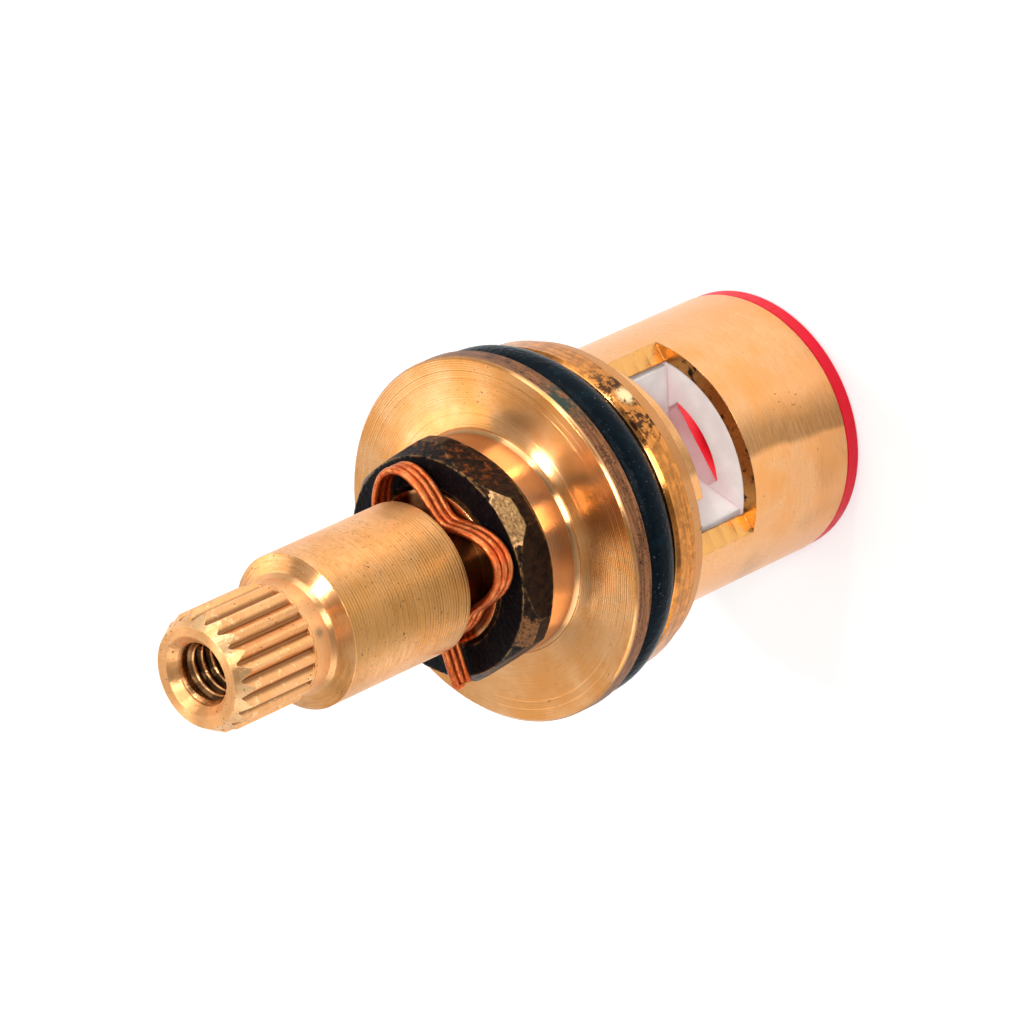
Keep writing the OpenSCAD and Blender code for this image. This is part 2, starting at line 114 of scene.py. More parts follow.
class Nodes:
    """Short names for building a node tree. Inputs may be numbers, colours or sockets."""

    def __init__(self, owner):
        owner.use_nodes = True
        self.tree = owner.node_tree
        self.tree.nodes.clear()

    def add(self, kind, **settings):
        node = self.tree.nodes.new(kind)
        for key, value in settings.items():
            setattr(node, key, value)
        return node

    def put(self, value, socket):
        if isinstance(value, bpy.types.NodeSocket):
            self.tree.links.new(value, socket)
        elif isinstance(value, tuple) and len(value) == 3 and socket.type == "RGBA":
            socket.default_value = (*value, 1)
        else:
            socket.default_value = value

    def math(self, operation, a, b=0.0, clamp=False):
        node = self.add("ShaderNodeMath", operation=operation, use_clamp=clamp)
        for value, socket in zip((a, b), node.inputs):
            self.put(value, socket)
        return node.outputs[0]

    def vector(self, operation, a, b=(0, 0, 0), scale=1.0):
        node = self.add("ShaderNodeVectorMath", operation=operation)
        self.put(a, node.inputs[0])
        self.put(b, node.inputs[1])
        self.put(scale, node.inputs[3])
        return node.outputs["Vector"]

    def split(self, vector):
        node = self.add("ShaderNodeSeparateXYZ")
        self.put(vector, node.inputs[0])
        return node.outputs

    def join(self, x, y, z):
        node = self.add("ShaderNodeCombineXYZ")
        for value, socket in zip((x, y, z), node.inputs):
            self.put(value, socket)
        return node.outputs[0]

    def ramp(self, value, low, high, start=0.0, end=1.0):
        """Smooth step from start at low to end at high."""
        node = self.add("ShaderNodeMapRange", interpolation_type="SMOOTHSTEP")
        for given, socket in zip((value, low, high, start, end), node.inputs):
            self.put(given, socket)
        return node.outputs[0]

    def band(self, value, low, high, soft):
        """One between low and high, falling to zero over soft on both sides."""
        rise = self.ramp(value, low - soft, low + soft)
        fall = self.ramp(value, high - soft, high + soft, 1.0, 0.0)
        return self.math("MULTIPLY", rise, fall)

    def both(self, *masks):
        """Product of masks or numbers."""
        product = masks[0]
        for mask in masks[1:]:
            product = self.math("MULTIPLY", product, mask)
        return product

    def shader(self, kind, output, inputs):
        node = self.add(kind)
        for key, value in inputs.items():
            self.put(value, node.inputs[key])
        self.tree.links.new(node.outputs[0], self.add(output).inputs["Surface"])

    def mixed(self, kind, factor, a, b):
        node = self.add("ShaderNodeMix", data_type="RGBA" if kind == "Color" else "FLOAT")
        given = {"Factor_Float": factor, f"A_{kind}": a, f"B_{kind}": b}
        for socket in node.inputs:
            if socket.identifier in given:
                self.put(given[socket.identifier], socket)
        return next(socket for socket in node.outputs if socket.identifier == f"Result_{kind}")

    def mix(self, factor, a, b):
        """Colour between a and b."""
        return self.mixed("Color", factor, a, b)

    def blend(self, factor, a, b):
        """Number between a and b."""
        return self.mixed("Float", factor, a, b)


class Shade(Nodes):
    """Node tree of one material, where mm is the place on the object and facing its normal."""

    def __init__(self, name):
        self.material = bpy.data.materials.new(name)
        super().__init__(self.material)
        place = self.add("ShaderNodeTexCoord").outputs["Object"]
        self.mm = self.vector("SCALE", place, scale=1 / MM)
        self.x, self.y, self.z = self.split(self.mm)
        squares = self.math("ADD", self.math("POWER", self.x, 2), self.math("POWER", self.y, 2))
        self.r = self.math("SQRT", squares)
        self.angle = self.math("MULTIPLY", self.math("ARCTAN2", self.y, self.x), 180 / math.pi)
        self.facing = self.add("ShaderNodeNewGeometry").outputs["True Normal"]
        self.up = self.split(self.facing)[2]

    def noise(self, scale, seed, detail=3.0, rough=0.55, place=None, stretch=(1, 1, 1)):
        """Noise between 0 and 1 whose grains are about 1 / scale millimetres."""
        at = self.vector("MULTIPLY", place or self.mm, stretch)
        at = self.vector("ADD", at, (seed, 1.7 * seed, 2.3 * seed))
        node = self.add("ShaderNodeTexNoise")
        for key, value in {"Vector": at, "Scale": scale, "Detail": detail, "Roughness": rough}.items():
            self.put(value, node.inputs[key])
        return node.outputs["Fac"]

    def lines(self, along, pitch, detail=2.0):
        """Uneven parallel lines between 0 and 1, one about every pitch millimetres."""
        node = self.add("ShaderNodeTexNoise", noise_dimensions="1D")
        for key, value in {"W": along, "Scale": 1 / pitch, "Detail": detail, "Roughness": 0.6}.items():
            self.put(value, node.inputs[key])
        return node.outputs["Fac"]

    def near(self, spot, reach, soft):
        """One inside a ball round a spot, in millimetres, falling to zero over soft."""
        node = self.add("ShaderNodeVectorMath", operation="DISTANCE")
        self.put(self.mm, node.inputs[0])
        self.put(spot, node.inputs[1])
        return self.ramp(node.outputs["Value"], reach - soft, reach + soft, 1.0, 0.0)

    def rounded(self, edge_mm):
        """Normal with the edges softened over a small radius."""
        node = self.add("ShaderNodeBevel", samples=4)
        self.put(edge_mm * MM, node.inputs["Radius"])
        return node.outputs[0]

    def bump(self, height_mm, normal=None):
        node = self.add("ShaderNodeBump")
        self.put(1.0, node.inputs["Strength"])
        self.put(MM, node.inputs["Distance"])
        self.put(height_mm, node.inputs["Height"])
        if normal is not None:
            self.put(normal, node.inputs["Normal"])
        return node.outputs[0]

    def edges(self, edge_mm, low, high):
        """One where the surface turns a sharp edge."""
        rounded = self.rounded(edge_mm)
        node = self.add("ShaderNodeVectorMath", operation="DOT_PRODUCT")
        self.put(rounded, node.inputs[0])
        self.put(self.facing, node.inputs[1])
        return self.ramp(self.math("SUBTRACT", 1.0, node.outputs["Value"]), low, high)

    def turned(self, **inputs):
        """Metal whose reflections spread across the lathe's grooves."""
        around = self.add("ShaderNodeTangent", direction_type="RADIAL", axis="Z").outputs[0]
        inputs.update(Metallic=1.0, Anisotropic=0.9, Anisotropic_Rotation=0.25, Tangent=around)
        return self.finish(**inputs)

    def finish(self, **inputs):
        given = {key.replace("_", " "): value for key, value in inputs.items()}
        self.shader("ShaderNodeBsdfPrincipled", "ShaderNodeOutputMaterial", given)
        return self.material


# Colours, linear: bare and tarnished brass, whose dark tones also paint reflections and shade
BRASS = (0.81, 0.37, 0.12)
PALE_BRASS = (0.90, 0.49, 0.22)
WARM_BRASS = (0.80, 0.345, 0.095)
PINK_BRASS = (0.92, 0.58, 0.34)
SMOOTH_BRASS = (0.83, 0.45, 0.205)
SCRAPED_BRASS = (0.97, 0.62, 0.31)
CREAM = (0.98, 0.70, 0.36)
DEEP_BRASS = (0.66, 0.25, 0.055)
GOLD = (0.72, 0.37, 0.09)
OLIVE_BRASS = (0.40, 0.20, 0.055)
REFLECTION_AND_TARNISH_BRASS = (0.33, 0.165, 0.06)
WORN_BRASS = (0.44, 0.26, 0.10)
TARNISH = (0.17, 0.085, 0.04)

# Stains and dirt on brass, and painted shade between the spline's teeth, in the clip's groove and down the
# hole
VALLEY_SHADE = (0.20, 0.075, 0.024)
HOLE_SHADE = (0.02, 0.008, 0.004)
GREY_SMEAR = (0.10, 0.09, 0.085)
GROOVE_SHADE = (0.09, 0.035, 0.014)
PATINA = (0.005, 0.005, 0.007)
BROWN_PATINA = (0.030, 0.016, 0.009)
PATINA_DUST = (0.10, 0.065, 0.045)
CORNER_BROWN = (0.30, 0.13, 0.05)
RUST = (0.22, 0.055, 0.012)
EDGE_BROWN = (0.36, 0.15, 0.065)
EDGE_STREAK = (0.15, 0.065, 0.03)
EDGE_BLOT = (0.09, 0.045, 0.024)
EDGE_SPECK = (0.022, 0.015, 0.011)
VERDIGRIS = (0.04, 0.06, 0.045)
SEAT_BROWN = (0.36, 0.15, 0.04)
SEAT_GRIME = (0.045, 0.02, 0.011)
COLLAR_BROWN = (0.42, 0.18, 0.06)
SILL_BROWN = (0.30, 0.13, 0.035)
SILL_DIRT = (0.10, 0.045, 0.02)
SILL_BLACK = (0.012, 0.02, 0.017)

# Other materials
COPPER = (0.64, 0.125, 0.032)
PALE_COPPER = (0.80, 0.25, 0.08)
DARK_COPPER = (0.20, 0.028, 0.011)
RUBBER = (0.002, 0.006, 0.010)
BLUE_RUBBER = (0.003, 0.013, 0.020)
RUBBER_DUST_AND_GLINT = (0.20, 0.22, 0.23)
CERAMIC = (0.93, 0.89, 0.88)
GREY_CERAMIC = (0.85, 0.80, 0.79)
CERAMIC_PORE = (0.45, 0.40, 0.38)
RED_BOUNCE_LIGHT = (0.80, 0.50, 0.52)
RED = (0.72, 0.003, 0.018)
BRIGHT_RED = (0.78, 0.006, 0.03)
NYLON = (0.72, 0.69, 0.62)
DARK_NYLON = (0.62, 0.58, 0.50)
FLOOR_GREY = (0.62, 0.62, 0.62)
WHITE = (1, 1, 1)

# How far red, green and blue light spreads under the surface, in metres
CERAMIC_SPREAD = (0.0006, 0.0005, 0.0005)
RED_SPREAD = (0.0012, 0.0003, 0.0003)


def turned_lines(shade, along, pitch, depth):
    """Height of lathe lines in millimetres: a steady feed mark with uneven lines over it."""
    feed = shade.math("SINE", shade.math("MULTIPLY", along, 2 * math.pi / pitch))
    uneven = shade.math("SUBTRACT", shade.lines(along, pitch), 0.5)
    patchy = shade.noise(0.5, detail=3.0, seed=4.0)
    mark = shade.math("ADD", shade.math("MULTIPLY", feed, 0.6), shade.math("MULTIPLY", uneven, 1.6))
    return shade.both(mark, shade.ramp(patchy, 0.3, 0.6, 0.65, 1.0), depth)


def brushed(shade, seed, finest):
    """Fine streaks that run round the axis, between 0 and 1."""
    slow = shade.vector("MULTIPLY", shade.mm, (0.07, 0.07, 0.0))
    across = shade.join(0.0, 0.0, shade.math("ADD", shade.z, shade.r))
    return shade.noise(finest, detail=4.0, rough=0.65, place=shade.vector("ADD", slow, across), seed=seed)


def pits(shade, scale, share, seed):
    """Small dark specks: one inside a speck. A larger share leaves fewer of them."""
    grains = shade.noise(scale, detail=1.0, rough=0.4, seed=seed)
    patches = shade.noise(0.5, detail=2.0, seed=seed + 3.0)
    level = shade.ramp(patches, 0.3, 0.7, share + 0.05, share - 0.03)
    return shade.ramp(shade.math("SUBTRACT", grains, level), 0.0, 0.03)


def spline_finish(s, colour):
    """Painted shade at the foot of the teeth, with bright nicks and a pale chamfer at the tip."""
    sloped = s.ramp(s.up, 0.2, 0.35)
    upright = s.math("SUBTRACT", 1.0, sloped)
    # Painted shade at the foot of the teeth, on their upright flanks
    below_crest = s.ramp(s.r, spline_root_r + 0.02, spline_root_r + 0.22, 1.0, 0.0)
    valley_shade = s.both(below_crest, s.ramp(s.r, spline_root_r - 0.2, spline_root_r - 0.1), upright)
    chips = s.noise(2.2, detail=4.0, rough=0.6, seed=28.0)
    crowded = s.ramp(s.z, tip_z - 3.2, tip_z - 1.0, 0.63, 0.55)
    on_crest = s.ramp(s.r, spline_root_r, spline_root_r + 0.2)
    nicks = s.both(on_crest, s.ramp(s.math("SUBTRACT", chips, crowded), 0.0, 0.04))
    colour = s.mix(0.35, colour, PALE_BRASS)
    pale_patch = s.ramp(s.noise(0.7, detail=2.0, seed=37.0), 0.48, 0.6, 0.15, 0.7)
    chamfer = s.both(sloped, s.ramp(s.r, spline_root_r - 0.4, spline_root_r - 0.2), pale_patch)
    colour = s.mix(chamfer, colour, SCRAPED_BRASS)
    colour = s.mix(s.math("MULTIPLY", valley_shade, 0.85), colour, VALLEY_SHADE)
    return s.mix(s.math("MULTIPLY", nicks, 0.6), colour, CREAM)


def spindle_material():
    """Turned brass: lined stem with a painted reflection, smooth neck, nicked spline, painted shade in
    groove and hole.
    """
    s = Shade("turned_brass_spindle")
    stem = s.band(s.z, stem_z, stem_top_z - 0.05, soft=0.02)
    head = s.ramp(s.z, spline_z - 0.3, spline_z + 0.1)
    neck = s.band(s.z, stem_top_z + 0.5, spline_z - 0.3, soft=0.1)
    below_stem = s.ramp(s.z, stem_z - 0.05, stem_z, 1.0, 0.0)
    groove = s.both(s.ramp(s.r, STEM_R - 0.3, STEM_R - 0.1, 1.0, 0.0), below_stem)
    # Painted shade down the hole, darker deeper in, leaving the thread's crests bright
    below_tip = s.ramp(s.z, tip_z - 0.9, tip_z - 0.6, 1.0, 0.0)
    bore = s.both(s.ramp(s.r, hole_r + 0.1, hole_r + 0.2, 1.0, 0.0), below_tip)
    deeper = s.ramp(s.z, tip_z - 2.0, tip_z - 0.6, 1.0, 0.5)
    hole = s.both(bore, s.ramp(s.r, hole_r - 0.28, hole_r - 0.2), deeper)
    cloud = s.noise(0.35, detail=4.0, seed=1.0)
    streaks = brushed(s, seed=27.0, finest=9.0)
    mottle = s.noise(3.5, detail=5.0, rough=0.7, seed=36.0)
    specks = pits(s, scale=5.5, share=0.71, seed=2.0)
    colour = s.mix(s.ramp(cloud, 0.3, 0.75), BRASS, PALE_BRASS)
    colour = s.mix(s.ramp(streaks, 0.42, 0.7, 0.0, 0.6), colour, DEEP_BRASS)
    colour = s.mix(s.both(stem, s.ramp(mottle, 0.45, 0.75, 0.0, 0.5)), colour, OLIVE_BRASS)
    # A dark band of painted reflection on the stem, joined with patches of tarnish
    wander = s.math("ADD", s.angle, s.math("MULTIPLY", s.noise(0.4, seed=3.0), 14.0))
    patches = s.ramp(s.noise(0.14, detail=2.0, seed=29.0), 0.52, 0.68, 0.0, 0.5)
    painted_reflection_and_tarnish = s.both(stem, s.math("MAXIMUM", s.band(wander, *STEM_PAINTED_REFLECTION, soft=18.0), patches))
    colour = s.mix(s.math("MULTIPLY", painted_reflection_and_tarnish, 0.75), colour, OLIVE_BRASS)
    colour = s.mix(s.math("MULTIPLY", neck, 0.6), colour, PALE_BRASS)
    colour = s.mix(head, colour, spline_finish(s, colour))
    colour = s.mix(s.math("MULTIPLY", specks, 0.85), colour, TARNISH)
    smear = s.near(polar(spline_r - 0.05, NECK_SMEAR, spline_z - 0.74), reach=0.3, soft=0.25)
    colour = s.mix(s.math("MULTIPLY", smear, 0.6), colour, GREY_SMEAR)
    # Painted shade in the clip's groove under the wire
    colour = s.mix(s.math("MULTIPLY", groove, 0.85), colour, GROOVE_SHADE)
    colour = s.mix(s.math("MULTIPLY", hole, 0.95), colour, HOLE_SHADE)
    feed = turned_lines(s, s.z, pitch=0.24, depth=s.blend(painted_reflection_and_tarnish, 0.010, 0.017))
    height = s.math("MULTIPLY", feed, s.blend(stem, 0.1, 1.0))
    height = s.math("SUBTRACT", height, s.math("MULTIPLY", specks, 0.02))
    scuffs = s.noise(3.0, detail=4.0, stretch=(1, 1, 0.3), seed=7.0)
    height = s.math("ADD", height, s.both(scuffs, head, 0.03))
    rough = s.blend(s.math("MAXIMUM", head, neck), s.blend(stem, 0.24, 0.34), 0.36)
    return s.turned(
        Base_Color=colour,
        Roughness=s.blend(bore, rough, 0.2),
        Normal=s.bump(height, s.rounded(edge_mm=0.08)),
    )


def hex_finish(s, crust, marked):
    """Colour of the dark hexagon, with rust on its upper flats and bare brass where corners are worn."""
    on_front = s.ramp(s.up, 0.85, 0.95)
    off_front = s.ramp(on_front, 0.0, 1.0, 1.0, 0.0)
    rusty = s.both(s.ramp(crust, 0.52, 0.66), s.ramp(s.angle, *RUSTY_FROM), off_front)
    colour = s.mix(s.ramp(crust, 0.35, 0.6), PATINA, BROWN_PATINA)
    pale_specks = s.both(on_front, s.ramp(s.noise(5.0, detail=3.0, rough=0.6, seed=26.0), 0.6, 0.7, 0.0, 0.4))
    colour = s.mix(s.both(on_front, 0.95), colour, PATINA)
    colour = s.mix(pale_specks, colour, PATINA_DUST)
    colour = s.mix(rusty, colour, RUST)
    colour = s.mix(s.both(marked, s.ramp(crust, 0.42, 0.56)), colour, WORN_BRASS)
    grain = s.math("SUBTRACT", s.noise(1.1, detail=5.0, rough=0.65, seed=15.0), 0.5)
    ragged = s.math("ADD", s.angle, s.math("MULTIPLY", grain, 26.0))
    slope = s.both(s.band(s.up, 0.25, 0.85, soft=0.05), s.ramp(s.r, HEX_SLOPE_R, HEX_SLOPE_R + 0.3))
    patch = s.both(slope, s.band(ragged, *BARE_CORNER, soft=1.0))
    rim = s.math("SUBTRACT", s.both(slope, s.band(ragged, *BARE_CORNER_RIM, soft=1.0)), patch, clamp=True)
    scratched = s.noise(4.0, detail=4.0, rough=0.7, stretch=(1, 2, 1), seed=23.0)
    bare = s.mix(s.ramp(scratched, 0.36, 0.6), TARNISH, WORN_BRASS)
    colour = s.mix(patch, colour, s.mix(s.ramp(scratched, 0.58, 0.68, 0.0, 0.6), bare, PALE_BRASS))
    colour = s.mix(rim, colour, PALE_BRASS)
    brown = s.both(slope, s.band(ragged, *BROWN_CORNER, soft=1.5))
    return s.mix(brown, colour, s.mix(s.ramp(scratched, 0.4, 0.7), CORNER_BROWN, BROWN_PATINA))


def flange_edge_finish(s):
    """Brown, streaked edge of the flange with dark blotches and brighter corners."""
    streaks = brushed(s, seed=8.0, finest=5.0)
    blots = s.noise(1.3, detail=6.0, rough=0.75, seed=16.0)
    flecks = s.noise(7.0, detail=4.0, rough=0.7, seed=17.0)
    brown = s.mix(s.ramp(streaks, 0.35, 0.65), EDGE_BROWN, EDGE_STREAK)
    brown = s.mix(s.ramp(blots, 0.5, 0.7, 0.0, 0.7), brown, EDGE_BLOT)
    speckled = s.ramp(s.math("ADD", flecks, s.math("MULTIPLY", blots, 0.4)), 0.74, 0.84)
    brown = s.mix(speckled, brown, EDGE_SPECK)
    dark = s.both(s.ramp(blots, 0.4, 0.52), s.band(s.angle, *EDGE_STAIN, soft=6.0))
    brown = s.mix(dark, brown, VERDIGRIS)
    front = s.band(s.z, flange_face_z - 0.2, flange_face_z - 0.1, soft=0.04)
    back = s.band(s.z, flange_z + 0.1, flange_z + 0.18, soft=0.04)
    return s.mix(s.both(s.math("ADD", front, back), 0.6), brown, PALE_BRASS)


def ring_seat_finish(s):
    """Grimy rim below the O-ring, with a small cream spot painted as a glint."""
    streaks = brushed(s, seed=25.0, finest=5.0)
    grime = s.noise(1.5, detail=6.0, rough=0.7, seed=18.0)
    reach = s.math("MAXIMUM", s.band(s.angle, *RIM_GRIME, soft=8.0), 0.3)
    colour = s.mix(s.ramp(streaks, 0.4, 0.7), DEEP_BRASS, SEAT_BROWN)
    colour = s.mix(s.both(reach, s.ramp(grime, 0.45, 0.55), 0.95), colour, SEAT_GRIME)
    # A small ragged cream spot painted as a glint on the rim
    ragged = s.ramp(s.noise(2.0, detail=4.0, seed=24.0), 0.4, 0.5)
    pale_patch = s.both(s.near(polar(rim_r, RIM_GLINT, rim_top_z - 1.2), reach=0.6, soft=0.3), ragged)
    return s.mix(pale_patch, colour, CREAM)


def flange_face_height(s):
    """Fine rings and a few scribed circles on a slight dish, with a hollow by the neck, in millimetres."""
    rings = turned_lines(s, s.r, pitch=0.16, depth=0.0021)
    scribed = s.ramp(s.lines(s.r, pitch=0.45, detail=1.0), 0.64, 0.70, 0.0, 0.006)
    dish = s.math("MULTIPLY", s.math("POWER", s.math("SUBTRACT", flange_r, s.r), 2.0), 0.017)
    inner = s.math("MAXIMUM", s.math("SUBTRACT", FLANGE_HOLLOW_R, s.r), 0.0)
    hollow = s.math("MULTIPLY", s.math("POWER", inner, 2.0), 0.1)
    return s.math("ADD", s.math("ADD", rings, scribed), s.math("ADD", dish, hollow))


def headwork_material():
    """Turned brass: dark hexagon, pink neck with painted fillet shade, stained flange edge, grimy rim with
    painted glint.
    """
    s = Shade("turned_brass_headwork")
    on_hex = s.ramp(s.z, hex_z - 0.05, hex_z + 0.02)
    on_face = s.band(s.z, flange_face_z - 0.03, flange_face_z + 0.03, soft=0.02)
    outside = s.ramp(s.r, flange_r - 0.12, flange_r - 0.05)
    on_edge = s.both(s.band(s.z, flange_z + 0.06, flange_face_z - 0.08, soft=0.03), outside)
    on_seat = s.ramp(s.z, rim_top_z - 0.1, rim_top_z, 1.0, 0.0)
    cloud = s.noise(0.3, detail=4.0, seed=5.0)
    streaks = brushed(s, seed=30.0, finest=12.0)
    specks = pits(s, scale=4.0, share=0.74, seed=6.0)
    colour = s.mix(s.ramp(cloud, 0.3, 0.75), WARM_BRASS, PALE_BRASS)
    colour = s.mix(s.ramp(streaks, 0.45, 0.75, 0.0, 0.35), colour, DEEP_BRASS)
    colour = s.mix(s.math("MULTIPLY", specks, 0.7), colour, TARNISH)
    on_neck = s.ramp(s.z, flange_face_z + 0.02, flange_face_z + 0.3)
    colour = s.mix(s.math("MULTIPLY", on_neck, 0.8), colour, PINK_BRASS)
    # Painted shade darkens the fillet at the foot of the neck
    low_neck = s.ramp(s.z, hex_z - 1.9, hex_z - 1.7, 1.0, 0.0)
    fillet_shade = s.both(s.band(s.up, 0.55, 0.85, soft=0.08), on_neck, low_neck)
    colour = s.mix(s.math("MULTIPLY", fillet_shade, 0.75), colour, OLIVE_BRASS)
    colour = s.mix(on_seat, colour, ring_seat_finish(s))
    colour = s.mix(on_edge, colour, flange_edge_finish(s))
    crust = s.noise(2.2, detail=6.0, rough=0.7, seed=9.0)
    marked = s.edges(edge_mm=0.22, low=0.01, high=0.12)
    colour = s.mix(on_hex, colour, hex_finish(s, crust, marked))
    height = s.blend(on_face, turned_lines(s, s.z, pitch=0.21, depth=0.003), flange_face_height(s))
    height = s.math("ADD", height, s.both(crust, on_hex, 0.15))
    return s.turned(
        Base_Color=colour,
        Roughness=s.blend(on_hex, s.blend(on_edge, 0.23, 0.42), 0.36),
        Normal=s.bump(height, s.rounded(edge_mm=0.08)),
    )


def cage_material():
    """Smooth brass with a dark band of painted reflection, tarnish patches, scalloped cuts in the windows
    and a dirty sill.
    """
    s = Shade("smooth_brass_cage")
    level = s.both(s.ramp(s.up, 0.7, 0.9), s.band(s.z, sill_z - 0.05, sill_z + 0.05, soft=0.03))
    cut = s.ramp(s.r, cage_r - 0.06, cage_r - 0.02, 1.0, 0.0)
    cloud = s.noise(0.25, detail=4.0, seed=11.0)
    specks = pits(s, scale=3.5, share=0.75, seed=12.0)
    colour = s.mix(s.ramp(cloud, 0.3, 0.65), BRASS, SMOOTH_BRASS)
    streaks = brushed(s, seed=34.0, finest=14.0)
    colour = s.mix(s.ramp(streaks, 0.42, 0.7, 0.0, 0.34), colour, DEEP_BRASS)
    # The dark band is a painted reflection that leans with height; the noise patches are tarnish
    lean = s.math("MULTIPLY", s.math("SUBTRACT", sill_z, s.z), 0.55)
    wander = s.math("ADD", s.math("ADD", s.angle, lean), s.math("MULTIPLY", s.noise(0.3, seed=19.0), 6.0))
    painted_reflection_and_tarnish = s.both(s.ramp(wander, *CAGE_PAINTED_REFLECTION_START), s.ramp(wander, *CAGE_PAINTED_REFLECTION_END, 1.0, 0.0))
    patches = s.ramp(s.noise(0.12, detail=2.0, seed=35.0), 0.52, 0.7, 0.0, 0.5)
    marked = s.both(s.math("MAXIMUM", painted_reflection_and_tarnish, patches), s.ramp(streaks, 0.3, 0.65, 0.65, 0.95))
    colour = s.mix(marked, colour, REFLECTION_AND_TARNISH_BRASS)
    collar = s.ramp(s.r, cage_r + 0.3, cage_r + 0.6)
    colour = s.mix(s.both(collar, 0.7), colour, COLLAR_BROWN)
    colour = s.mix(s.math("MULTIPLY", specks, 0.6), colour, TARNISH)
    colour = s.mix(s.both(cut, 0.7), colour, GOLD)
    grime = s.noise(0.9, detail=6.0, rough=0.7, seed=13.0)
    dirt = s.mix(s.ramp(grime, 0.58, 0.66), SILL_DIRT, SILL_BLACK)
    colour = s.mix(s.both(level, 0.5), colour, SILL_BROWN)
    colour = s.mix(s.both(level, s.ramp(grime, 0.53, 0.6)), colour, dirt)
    fine = turned_lines(s, s.z, pitch=0.26, depth=0.0035)
    wavy = s.math("MULTIPLY", s.noise(0.5, detail=2.0, seed=14.0), 0.04)
    passes = s.math("ABSOLUTE", s.math("SINE", s.math("MULTIPLY", s.z, 2.6)))
    scallops = s.math("MULTIPLY", passes, s.both(cut, 0.05))
    height = s.math("ADD", s.math("ADD", fine, wavy), scallops)
    return s.turned(
        Base_Color=colour,
        Roughness=s.ramp(cloud, 0.3, 0.7, 0.22, 0.31),
        Normal=s.bump(height, s.rounded(edge_mm=0.1)),
    )


def copper_material():
    """Drawn wire with dark streaks."""
    s = Shade("drawn_copper_wire")
    cloud = s.noise(1.2, detail=4.0, seed=21.0)
    streaks = s.noise(4.0, detail=3.0, stretch=(1, 1, 5), seed=22.0)
    colour = s.mix(s.ramp(cloud, 0.35, 0.7), COPPER, PALE_COPPER)
    colour = s.mix(s.ramp(streaks, 0.5, 0.7, 0.0, 0.8), colour, DARK_COPPER)
    return s.finish(
        Base_Color=colour,
        Metallic=1.0,
        Roughness=0.38,
        Normal=s.bump(s.math("MULTIPLY", streaks, 0.02)),
    )


def rubber_material():
    """Greased black rubber with a few pale specks, partly grime and partly painted glints."""
    s = Shade("greased_black_rubber")
    cloud = s.noise(0.8, detail=5.0, rough=0.65, seed=31.0)
    # Pale specks, partly grime and partly painted glints
    pale_specks = pits(s, scale=5.0, share=0.72, seed=32.0)
    colour = s.mix(s.ramp(cloud, 0.45, 0.75), RUBBER, BLUE_RUBBER)
    colour = s.mix(s.math("MULTIPLY", pale_specks, 0.4), colour, RUBBER_DUST_AND_GLINT)
    return s.finish(
        Base_Color=colour,
        Roughness=s.ramp(cloud, 0.3, 0.7, 0.14, 0.3),
        Specular_IOR_Level=0.06,
        Normal=s.bump(s.math("MULTIPLY", s.noise(2.5, detail=5.0, seed=33.0), 0.09)),
    )


def ceramic_material():
    """White ceramic with fine pores, and painted red light bounced from the seal near the ports."""
    s = Shade("lapped_ceramic")
    cloud = s.noise(0.6, detail=3.0, seed=41.0)
    pores = pits(s, scale=7.0, share=0.76, seed=42.0)
    colour = s.mix(s.ramp(cloud, 0.3, 0.7), CERAMIC, GREY_CERAMIC)
    colour = s.mix(s.math("MULTIPLY", pores, 0.4), colour, CERAMIC_PORE)
    # Painted red light bounced from the seal onto the ceramic near the ports
    from_port = s.math("ABSOLUTE", s.math("SUBTRACT", s.math("ABSOLUTE", s.y), PORT_Y))
    low_down = s.ramp(s.z, sill_z - 0.3, sill_z + 0.6, 1.0, 0.0)
    red_bounce = s.both(s.ramp(from_port, 0.8, 2.4, 1.0, 0.0), low_down)
    colour = s.mix(s.math("MULTIPLY", red_bounce, 0.45), colour, RED_BOUNCE_LIGHT)
    lapping = s.math("MULTIPLY", s.noise(4.0, detail=3.0, seed=43.0), 0.008)
    return s.finish(
        Base_Color=colour,
        Roughness=0.32,
        Subsurface_Weight=0.25,
        Subsurface_Radius=CERAMIC_SPREAD,
        Normal=s.bump(lapping, s.rounded(edge_mm=0.15)),
    )


def seal_material():
    """Soft red silicone."""
    s = Shade("red_silicone")
    cloud = s.noise(0.7, detail=4.0, seed=51.0)
    grain = s.math("MULTIPLY", s.noise(3.0, detail=4.0, seed=52.0), 0.03)
    return s.finish(
        Base_Color=s.mix(s.ramp(cloud, 0.3, 0.7), RED, BRIGHT_RED),
        Roughness=s.ramp(cloud, 0.3, 0.7, 0.32, 0.5),
        Specular_IOR_Level=0.2,
        Subsurface_Weight=0.1,
        Subsurface_Radius=RED_SPREAD,
        Normal=s.bump(grain, s.rounded(edge_mm=0.12)),
    )


def nylon_material():
    """Off-white nylon of the thrust washer."""
    s = Shade("moulded_nylon")
    cloud = s.noise(1.0, detail=3.0, seed=61.0)
    return s.finish(
        Base_Color=s.mix(cloud, NYLON, DARK_NYLON),
        Roughness=0.45,
        Normal=s.bump(s.math("MULTIPLY", s.noise(4.0, seed=62.0), 0.01)),
    )


def dress(node, material):
    obj = frame["nodes"][node]
    obj.data.materials.clear()
    obj.data.materials.append(material)


black_rubber = rubber_material()
ceramic = ceramic_material()
brass_spindle = spindle_material()
copper = copper_material()
dress("spindle", brass_spindle)
dress("headwork", headwork_material())
dress("cage", cage_material())
dress("body_o_ring", black_rubber)
dress("spindle_o_ring_upper", black_rubber)
dress("spindle_o_ring_lower", black_rubber)
dress("thrust_washer", nylon_material())
dress("moving_disc", ceramic)
dress("fixed_disc", ceramic)
dress("inlet_seal", seal_material())


